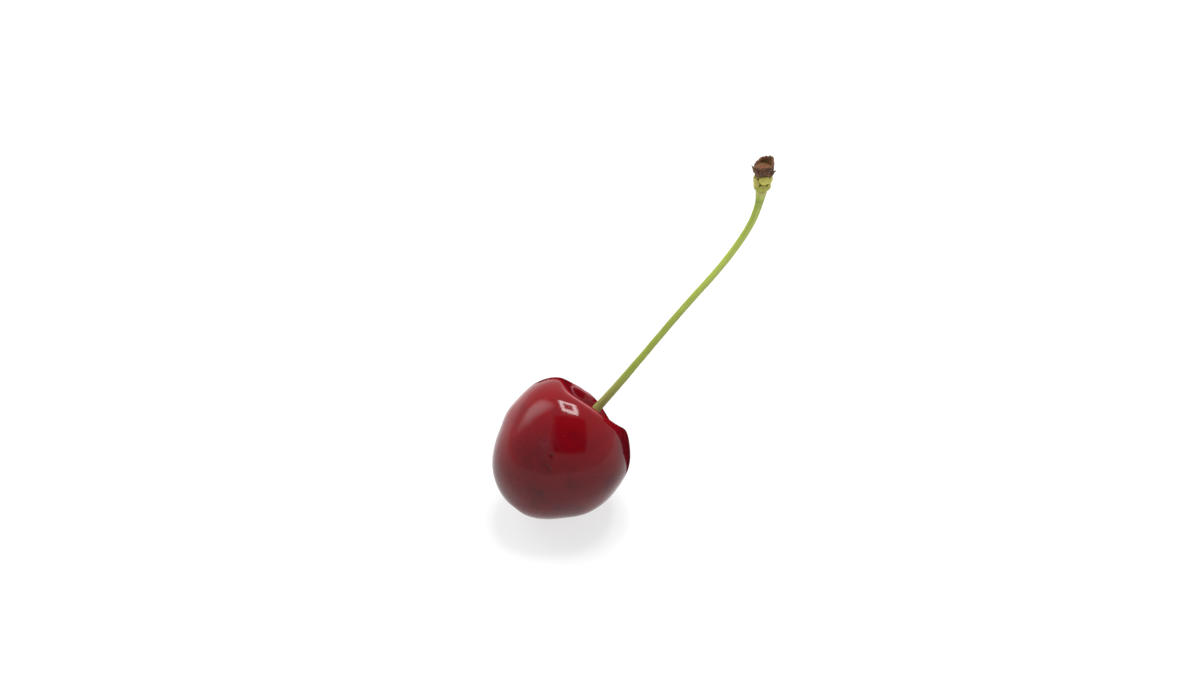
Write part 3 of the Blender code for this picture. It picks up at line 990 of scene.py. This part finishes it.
def bark_look(tree, settings):
    """Torn bark: brown with purple-brown and pinkish patches, nearly black at its rim, reddish inside."""
    place = tree.place(BARK_PLACED)
    height = tree.across(place, (0, 0, 1))
    clouds = tree.noise(place, 0.9, 4, 0.6)
    grain = tree.noise(tree.stretched(place, (3, 3, 0.8)), 1.4, 4, 0.65)
    colour = tree.mix(clouds.eased(0.4, 0.62), settings.colour, BARK_LIGHT)
    colour = tree.mix(tree.noise(place, 1.5, 3).eased(0.52, 0.66), colour, BARK_PURPLE)
    colour = tree.mix(tree.noise(place, 1.2, 2).eased(0.58, 0.7) * 0.7, colour, BARK_PINK)
    colour = tree.mix(grain.eased(0.5, 0.75) * 0.6, colour, BARK_GRAIN)
    from_axis = tree.vectors("LENGTH", {0: tree.stretched(place, (1, 1, 0))}, "Value")
    inside = from_axis.eased(1.75, 1.2) * height.eased(1.3, 1.7)
    fibres = tree.noise(tree.stretched(place, (0.7, 2.6, 1)), 1.5, 3, 0.6)
    wood = tree.mix(fibres.eased(0.4, 0.6), settings.hollow_colour, WOOD_FIBRE)
    wood = tree.mix(tree.noise(place, 2.2, 2).eased(0.55, 0.7) * 0.8, wood, WOOD_DARK)
    colour = tree.mix(inside, colour, wood)
    colour = tree.mix(from_axis.eased(1.75, 2.0) * 0.5, colour, BARK_BLACKENED)
    roughness = 0.75 + clouds * 0.2
    normal = tree.bump(grain + tree.noise(place, 4, 4) * 0.6, 0.7, 0.00015)
    return {"Base Color": colour, "Roughness": roughness, "Normal": normal}


class CHERRY_OT_studio(bpy.types.Operator):
    """Makes the floor, the soft studio light and the camera"""

    bl_idname = "cherry.studio"
    bl_label = "Studio"

    def execute(self, context):
        settings = context.scene.cherry_studio
        make_floor(settings)
        make_card()
        make_light(context.scene)
        make_camera(context.scene, settings)
        context.scene.view_settings.view_transform = "Standard"
        return {"FINISHED"}


def add_stage(name, shape, material):
    """An object of the studio, which is no part of the cherry."""
    mesh = bpy.data.meshes.new(name)
    shape.to_mesh(mesh)
    shape.free()
    mesh.materials.append(material)
    stage = bpy.data.objects.new(name, mesh)
    bpy.context.scene.collection.objects.link(stage)
    return stage


def make_floor(settings):
    """White paper just under the fruit."""
    shape = bmesh.new()
    bmesh.ops.create_grid(shape, x_segments=1, y_segments=1, size=FLOOR_HALF_SIZE)

    def paper(tree):
        colour = tree.mix(tree.noise(tree.place(), 0.02, 3) * 0.03, settings.floor_colour, PAPER_SHADE)
        return {"Base Color": colour}

    fixed = {
        "Roughness": 0.9,
        "Specular IOR Level": 0.1,
        "Emission Color": (1, 1, 1, 1),
        "Emission Strength": FLOOR_GLOW,
    }
    floor = add_stage("studio_floor", shape, finish_material("white_paper", paper, fixed))
    floor.location.z = -FLOOR_BELOW


def make_card():
    """A dark curved card at the right and back that only gloss shows, so that the skin's edge stays deep."""
    shape = bmesh.new()
    walls = []
    for turn, height, _ in smooth_route([Vector((*corner, 0)) for corner in CARD], CARD_STEPS):
        way = Vector((math.cos(math.radians(turn)), math.sin(math.radians(turn)), 0))
        lift = Vector((0, 0, CARD_ABOVE_FLOOR))
        top = Vector((0, 0, height * MM))
        wall = (way * CARD_NEAR + lift, way * CARD_FAR + lift, way * CARD_FAR + lift + top)
        walls.append([shape.verts.new(corner) for corner in wall])
    for wall, after in zip(walls, walls[1:]):
        shape.faces.new((wall[0], after[0], after[1], wall[1]))
        shape.faces.new((wall[1], after[1], after[2], wall[2]))

    def felt(tree):
        return {"Base Color": tree.mix(tree.noise(tree.place(), 0.3, 2), FELT, FELT_LIGHT)}

    fixed = {"Roughness": 1.0, "Specular IOR Level": 0}
    card = add_stage("studio_card", shape, finish_material("dark_felt", felt, fixed))
    card.visible_camera = False
    card.visible_diffuse = False
    card.visible_shadow = False
    card.visible_transmission = False


def make_light(scene):
    """A white tent with a dark opening towards the camera, a square frame of lamps and a soft glow."""
    world = bpy.data.worlds.new("white_tent")
    scene.world = world
    tree = NodeTree(world)
    way = tree.node("ShaderNodeTexCoord", output="Generated")
    right = tree.across(way, (1, 0, 0))
    back = tree.across(way, (0, 1, 0))
    up = tree.across(way, (0, 0, 1))
    over = up.at_least(0.02)
    off_side = abs(right / over - LAMP_MIDDLE[0])
    off_end = abs(back / over + right / over * LAMP_SKEW - LAMP_MIDDLE[1])
    outside = (off_side - LAMP_HALF_SIZE[0]).at_least(off_end - LAMP_HALF_SIZE[1])
    inside = (off_side - LAMP_HALF_INSIDE[0]).at_least(off_end - LAMP_HALF_INSIDE[1])
    lamp = outside.eased(LAMP_EDGE, -LAMP_EDGE) * inside.eased(-LAMP_EDGE, LAMP_EDGE) * up.eased(0.1, 0.2)
    from_glow = tree.from_point(way, GLOW_WAY)
    glow_long = tree.across(from_glow, GLOW_LONG_WAY) / GLOW_HALF_SIZE[0]
    glow_short = tree.across(from_glow, GLOW_SHORT_WAY) / GLOW_HALF_SIZE[1]
    glow = (glow_long * glow_long + glow_short * glow_short).eased(2.2, 0.1)
    glow = glow * tree.across(way, GLOW_WAY).eased(0.1, 0.3)
    ahead = tree.across(way, OPENING_WAY).at_least(0.05)
    sideways = right / ahead
    upwards = tree.across(way, OPENING_UP) / ahead
    left_soft, right_soft, end_soft = OPENING_SOFTNESS
    opening = sideways.eased(OPENING_SIDES[0] - left_soft, OPENING_SIDES[0] + left_soft)
    opening = opening * sideways.eased(OPENING_SIDES[1] + right_soft, OPENING_SIDES[1] - right_soft)
    opening = opening * upwards.eased(OPENING_ENDS[0] - end_soft, OPENING_ENDS[0] + end_soft)
    opening = opening * upwards.eased(OPENING_ENDS[1] + end_soft, OPENING_ENDS[1] - end_soft)
    tent = TENT_BRIGHTNESS + HORIZON_BRIGHTNESS * up.eased(0.45, 0)
    strength = (1 - opening * OPENING_DARKNESS) * tent + lamp * LAMP_BRIGHTNESS + glow * GLOW_BRIGHTNESS
    studio = tree.node("ShaderNodeBackground", {}, {"Color": (1, 1, 1, 1), "Strength": strength})
    plain = tree.node("ShaderNodeBackground", {}, {"Color": (1, 1, 1, 1), "Strength": 1.0})
    seen = tree.node("ShaderNodeLightPath", output="Is Camera Ray")
    shown = tree.node("ShaderNodeMixShader", {}, {0: seen, 1: studio, 2: plain})
    tree.links.new(shown.source, tree.nodes["World Output"].inputs["Surface"])


def make_camera(scene, settings):
    """A camera that frames the cherry as the photograph does."""
    lens = bpy.data.cameras.new("studio_camera")
    lens.sensor_width = SENSOR_WIDTH
    lens.lens = SENSOR_WIDTH * settings.camera_distance / FRAME_WIDTH
    lens.clip_start = 0.01
    lens.clip_end = 10
    camera = bpy.data.objects.new("studio_camera", lens)
    height = settings.camera_height
    towards = Vector((0, -math.cos(height), math.sin(height)))
    camera.location = CAMERA_TARGET + towards * settings.camera_distance
    camera.rotation_euler = (math.pi / 2 - height, 0, 0)
    scene.collection.objects.link(camera)
    scene.camera = camera


class CHERRY_PT_panel(bpy.types.Panel):
    """Lists the cherry's pieces and their settings"""

    bl_idname = "CHERRY_PT_panel"
    bl_label = "Cherry"
    bl_space_type = "VIEW_3D"
    bl_region_type = "UI"
    bl_category = "Cherry"

    def draw(self, context):
        for group, operator in PIECES.items():
            box = self.layout.box()
            settings = getattr(context.scene, group)
            for name in settings.bl_rna.properties.keys():
                if name not in ("rna_type", "name"):
                    box.prop(settings, name)
            box.operator(operator.bl_idname)


SETTINGS = {
    "cherry_fruit": FruitSettings,
    "cherry_stem": StemSettings,
    "cherry_collar": CollarSettings,
    "cherry_bark": BarkSettings,
    "cherry_studio": StudioSettings,
}
PIECES = {
    "cherry_fruit": CHERRY_OT_fruit,
    "cherry_stem": CHERRY_OT_stem,
    "cherry_collar": CHERRY_OT_bud_scales,
    "cherry_bark": CHERRY_OT_spur_bark,
    "cherry_studio": CHERRY_OT_studio,
}


def register():
    for kind in (*SETTINGS.values(), *PIECES.values(), CHERRY_PT_panel):
        bpy.utils.register_class(kind)
    for name, kind in SETTINGS.items():
        setattr(bpy.types.Scene, name, PointerProperty(type=kind))


def unregister():
    for name in SETTINGS:
        delattr(bpy.types.Scene, name)
    for kind in (CHERRY_PT_panel, *PIECES.values(), *SETTINGS.values()):
        bpy.utils.unregister_class(kind)


def main():
    register()
    bpy.ops.cherry.fruit()
    bpy.ops.cherry.stem()
    bpy.ops.cherry.bud_scales()
    bpy.ops.cherry.spur_bark()
    bpy.ops.cherry.studio()


if __name__ == "__main__":
    main()
